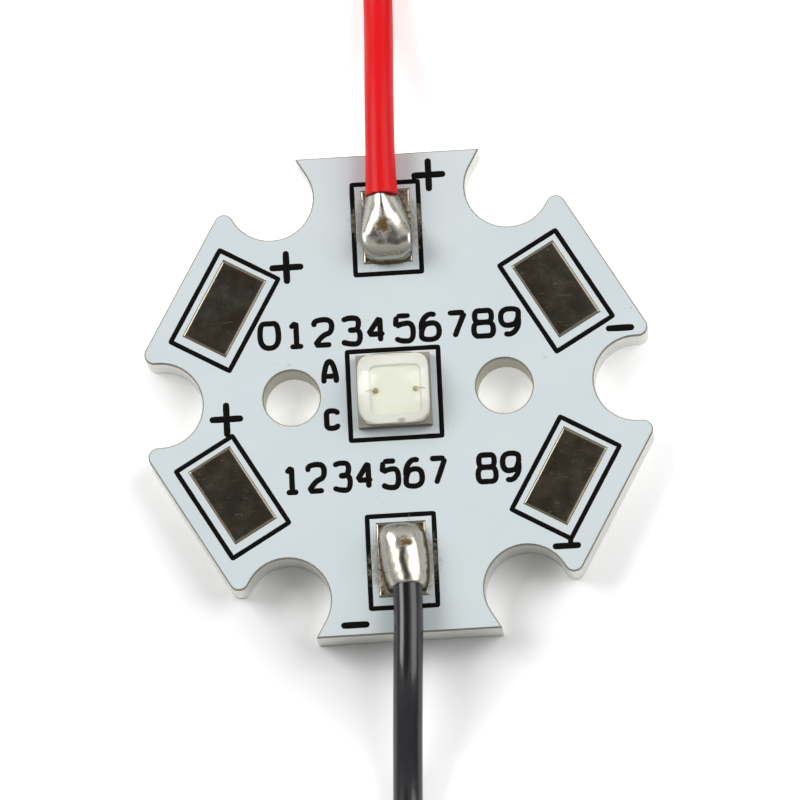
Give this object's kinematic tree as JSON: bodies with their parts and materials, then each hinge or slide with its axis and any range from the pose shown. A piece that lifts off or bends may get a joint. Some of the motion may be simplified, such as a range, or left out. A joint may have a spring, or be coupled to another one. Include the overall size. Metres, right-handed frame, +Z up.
{
  "type": "star board led module",
  "caption": "Hexagonal aluminium star board with a surface-mounted power LED under a square clear lens, screw notches, solder pads and a soldered red and black lead.",
  "frame": {"origin": "centre of the board's underside, on the surface that it stands on", "axes": "+Z up out of the LED, +Y along the red lead, +X towards the right-hand hole"},
  "size_m": [0.0261, 0.0694, 0.0029],
  "materials": {
    "bare_aluminium": "satin, sawn and routed edges",
    "dielectric": "dark olive resin",
    "copper": "rolled foil",
    "white_mask": "semi-gloss coating",
    "tinned_pad": "dull hot-air tin",
    "printed_ink": "matt ink",
    "led_solder": "bright solder",
    "gold_plating": "plated",
    "led_ceramic": "fired ceramic",
    "phosphor_chip": "fine powder in silicone",
    "white_silicone": "matt",
    "silicon_die": "polished",
    "gold_wire": "drawn",
    "clear_silicone": "clear",
    "solder": "bright, with flux residue",
    "tinned_strand": "tinned copper",
    "red_insulation": "extruded",
    "black_insulation": "extruded",
    "tie_strip": "matt strip"
  },
  "bodies": {
    "root": {"base_plate": "bare_aluminium", "dielectric_layer": "dielectric", "copper_anode": "copper", "copper_cathode": "copper", "copper_heat_spreader": "copper", "solder_mask": "white_mask", "tin_pad_top": "tinned_pad", "tin_pad_upper_left": "tinned_pad", "tin_pad_lower_left": "tinned_pad", "tin_pad_bottom": "tinned_pad", "tin_pad_lower_right": "tinned_pad", "tin_pad_upper_right": "tinned_pad", "printed_frames": "printed_ink", "led_solder_anode": "led_solder", "led_solder_cathode": "led_solder", "led_solder_heat": "led_solder", "led_terminals": "gold_plating", "led_ceramic": "led_ceramic", "led_bond_pads": "gold_plating", "led_chip": "phosphor_chip", "led_white_filling": "white_silicone", "led_protection_diode": "silicon_die", "bond_wire_left": "gold_wire", "bond_wire_right": "gold_wire", "led_lens": "clear_silicone", "solder_joint_red": "solder", "solder_joint_black": "solder", "strands_red": "tinned_strand", "strands_black": "tinned_strand", "red_lead": "red_insulation", "black_lead": "black_insulation", "red_lead_coil": "red_insulation", "black_lead_coil": "black_insulation", "red_coil_tie": "tie_strip", "black_coil_tie": "tie_strip", "red_lead_tip": "tinned_strand", "black_lead_tip": "tinned_strand"}
  },
  "joints": []
}
